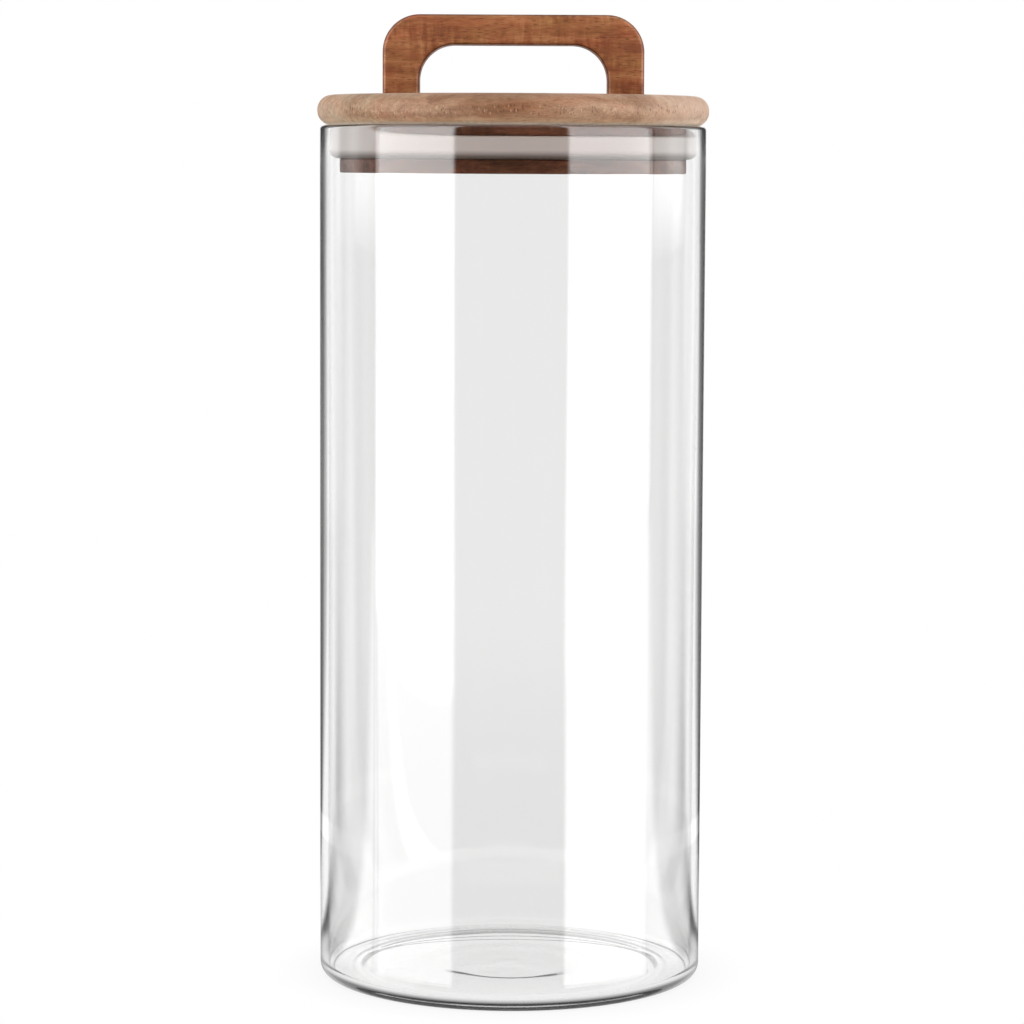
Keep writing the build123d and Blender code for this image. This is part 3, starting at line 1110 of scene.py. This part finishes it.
# --------------------------------------------------------------------------
# Screws
# --------------------------------------------------------------------------
def screw(name, x):
    """Countersunk wood screw, head down: plain neck, then a real thread that
    dies away at the point."""
    z0, seg, pitch = SCREW_Z, 40, 1.9
    rows = [(0.0, 0.0), (2.9, 0.0), (3.85, 0.05), (4.0, 0.18), (4.0, 0.3)]
    rows += [(4.0 - 1.9 * i / 5, 0.3 + 1.9 * i / 5) for i in range(1, 6)]
    rows += [(1.85, 2.6), (1.5, 3.2), (1.45, 4.4)]
    verts, rings = [], []
    for r, z in rows:
        if r == 0:
            rings.append([len(verts)])
            verts.append((x, 0, z0 + z))
            continue
        rings.append(list(range(len(verts), len(verts) + seg)))
        for k in range(seg):
            a = 2 * math.pi * k / seg
            verts.append((x + r * math.cos(a), r * math.sin(a), z0 + z))
    length = TIP_Z - z0
    start, steps = 5.0, 190
    for i in range(steps):
        z = start + (length - 0.05 - start) * i / (steps - 1)
        taper = min(1.0, (length - z) / 4.5)
        grow = min(1.0, (z - start) / 1.5)
        ring = []
        for k in range(seg):
            a = 2 * math.pi * k / seg
            ph = (z / pitch - k / seg) % 1.0
            tooth = max(0.0, 1 - abs(ph - 0.5) / 0.22)
            r = (1.35 + 0.62 * tooth * grow) * max(0.03, taper**0.8)
            ring.append(len(verts))
            verts.append((x + r * math.cos(a), r * math.sin(a), z0 + z))
        rings.append(ring)
    rings.append([len(verts)])
    verts.append((x, 0, z0 + length))
    faces = []
    for a, b in zip(rings, rings[1:]):
        for k in range(seg):
            k2 = (k + 1) % seg
            if len(a) == 1:
                faces.append((a[0], b[k], b[k2]))
            elif len(b) == 1:
                faces.append((a[k], b[0], a[k2]))
            else:
                faces.append((a[k], b[k], b[k2], a[k2]))
    obj = mesh_object(name, verts, faces, 35)
    cross = []
    for turned in (False, True):
        lo, hi, d = (2.2, 0.45), (1.3, 0.25), 1.6
        vs = []
        for (u, w), z in ((lo, -0.2), (lo, 0.0), (hi, d)):
            if turned:
                u, w = w, u
            vs += [(x - u, -w, z0 + z), (x + u, -w, z0 + z), (x + u, w, z0 + z), (x - u, w, z0 + z)]
        fs = [(3, 2, 1, 0), (8, 9, 10, 11)]
        for base in (0, 4):
            for k in range(4):
                k2 = (k + 1) % 4
                fs.append((base + k, base + k2, base + 4 + k2, base + 4 + k))
        cross.append(mesh_object("cutter", vs, fs))
    cut(obj, cross, 35)
    return obj


screws = [screw("screw_left", -LEG_X), screw("screw_right", LEG_X)]
for s in screws:
    s.data.materials.append(STEEL)
    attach(s, "lid")
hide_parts("handle_screws")
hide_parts("handle_screws")

# --------------------------------------------------------------------------
# Render settings the scene itself needs
# --------------------------------------------------------------------------
scene.cycles.max_bounces = 24
scene.cycles.transmission_bounces = 24
scene.cycles.glossy_bounces = 12
scene.cycles.diffuse_bounces = 5
scene.cycles.transparent_max_bounces = 24
scene.cycles.sample_clamp_indirect = 12.0
scene.cycles.caustics_reflective = False
scene.cycles.caustics_refractive = True

bpy.context.view_layer.update()
